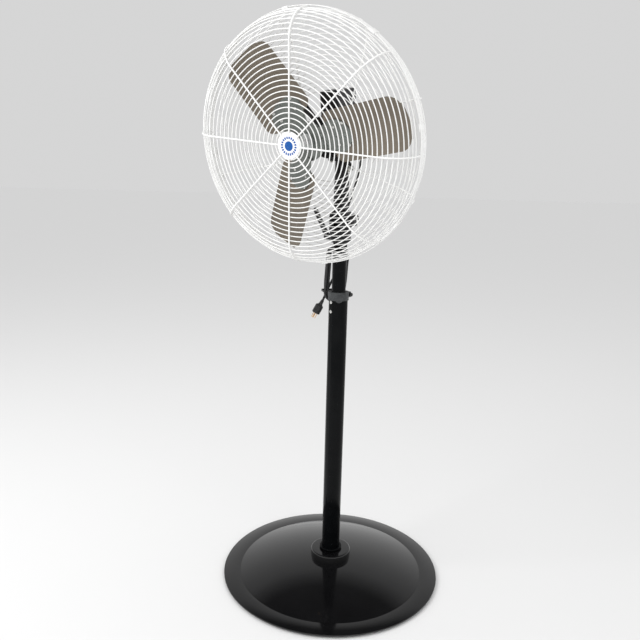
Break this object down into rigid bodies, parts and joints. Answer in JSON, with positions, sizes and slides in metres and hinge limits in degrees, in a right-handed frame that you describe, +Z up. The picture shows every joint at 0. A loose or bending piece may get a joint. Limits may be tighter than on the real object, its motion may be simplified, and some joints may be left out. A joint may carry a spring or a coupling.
{
  "type": "pedestal fan",
  "caption": "Pedestal air circulator: round base, telescopic column with clamp, tilting and panning head, wire guard, bladed rotor on a motor, mains cord in a hank.",
  "frame": {"origin": "on the floor under the middle of the base, on the column's axis", "axes": "+Z up along the column; the fan blows towards -Y"},
  "size_m": [0.729, 0.729, 1.7787],
  "materials": {
    "base_black": "gloss black paint",
    "tube_black": "gloss black paint",
    "cast_black": "gloss black paint on a casting",
    "collar_grey": "dull dark grey",
    "zinc": "bright zinc plate",
    "bush_plastic": "dull",
    "cord_black": "dull black jacket",
    "strap_plastic": "dull",
    "plug_black": "moulded, satin",
    "brass": "bright",
    "knob_black": "moulded, semi-gloss",
    "motor_black": "semi-gloss black paint",
    "bell_black": "die-cast, painted semi-gloss black",
    "laminations": "stacked sheet",
    "copper_wire": "varnished copper",
    "bearing_steel": "ground steel",
    "capacitor_can": "dull",
    "guard_white": "gloss white powder coat",
    "badge_white": "gloss white with a plain blue ring",
    "shaft_steel": "ground",
    "hub_alloy": "machined",
    "spider_grey": "satin grey-green paint",
    "blade_grey": "satin, taupe grey"
  },
  "bodies": {
    "stand": {"base": "base_black", "base_bolt": "zinc", "column_plug": "bush_plastic", "lower_tube": "tube_black", "foot_ring": "tube_black", "guide_bush": "bush_plastic", "clamp_collar": "collar_grey", "bush_screws": "zinc"},
    "height_lock": {"height_screw": "zinc"},
    "mast": {"upper_tube": "tube_black", "foot_bush": "bush_plastic"},
    "neck": {"neck_socket": "cast_black", "tilt_bolt": "zinc", "cord_clip": "strap_plastic", "clip_screw": "zinc", "cord_run": "cord_black", "cord_hank": "cord_black", "cord_tie": "strap_plastic", "cord_tail": "cord_black", "plug_body": "plug_black", "plug_prongs": "brass"},
    "pan_lock": {"pan_lever": "knob_black"},
    "tilt_lock": {"tilt_knob": "knob_black"},
    "head": {"neck_arm": "cast_black", "saddle_bolts": "zinc", "motor_shell": "motor_black", "front_bell": "bell_black", "rear_bell": "bell_black", "stator": "laminations", "windings": "copper_wire", "front_bearing": "bearing_steel", "rear_bearing": "bearing_steel", "through_bolts": "zinc", "switch_box": "motor_black", "box_cover": "motor_black", "box_screws": "zinc", "capacitor": "capacitor_can", "cord_gland": "strap_plastic", "cord_lead": "cord_black", "front_guard_face": "guard_white", "front_guard_shoulder": "guard_white", "front_guard_ribs": "guard_white", "rear_guard_face": "guard_white", "rear_guard_shoulder": "guard_white", "rear_guard_ribs": "guard_white", "guard_screws": "zinc", "front_rim": "guard_white", "rear_rim": "guard_white", "rim_clips": "guard_white", "badge": "badge_white"},
    "switch": {"switch_knob": "knob_black"},
    "rotor": {"rotor_shaft": "shaft_steel", "rotor_core": "laminations", "hub": "hub_alloy", "hub_screw": "shaft_steel", "spider": "spider_grey", "blade_1": "blade_grey", "blade_2": "blade_grey", "blade_3": "blade_grey", "blade_rivets": "zinc"}
  },
  "joints": [
    {"name": "height_screw_turn", "type": "hinge", "parent": "stand", "child": "height_lock", "pos_m": [0.00971, 0.03622, 0.969], "axis": [0.9659, -0.2588, 0], "range_deg": [-180, 180]},
    {"name": "height_slide", "type": "slide", "parent": "stand", "child": "mast", "axis": [0, 0, 1], "range_m": [-0.15, 0.3]},
    {"name": "pan_turn", "type": "hinge", "parent": "mast", "child": "neck", "pos_m": [0, 0, 1.16], "axis": [0, 0, 1], "range_deg": [-180, 180]},
    {"name": "pan_lever_turn", "type": "hinge", "parent": "neck", "child": "pan_lock", "pos_m": [-0.047, 0, 1.151], "axis": [1, 0, 0], "range_deg": [-120, 15]},
    {"name": "tilt_knob_turn", "type": "hinge", "parent": "neck", "child": "tilt_lock", "pos_m": [0.045, 0, 1.209], "axis": [1, 0, 0], "range_deg": [-180, 180]},
    {"name": "head_tilt", "type": "hinge", "parent": "neck", "child": "head", "pos_m": [0, 0, 1.209], "axis": [1, 0, 0], "range_deg": [-40, 10]},
    {"name": "switch_turn", "type": "hinge", "parent": "head", "child": "switch", "pos_m": [0, 0.02193, 1.56325], "axis": [0, 0.9861, 0.1659], "range_deg": [0, 135]},
    {"name": "fan_spin", "type": "hinge", "parent": "head", "child": "rotor", "pos_m": [0, -0.28527, 1.41827], "axis": [0, -0.9861, -0.1659], "continuous": true}
  ]
}
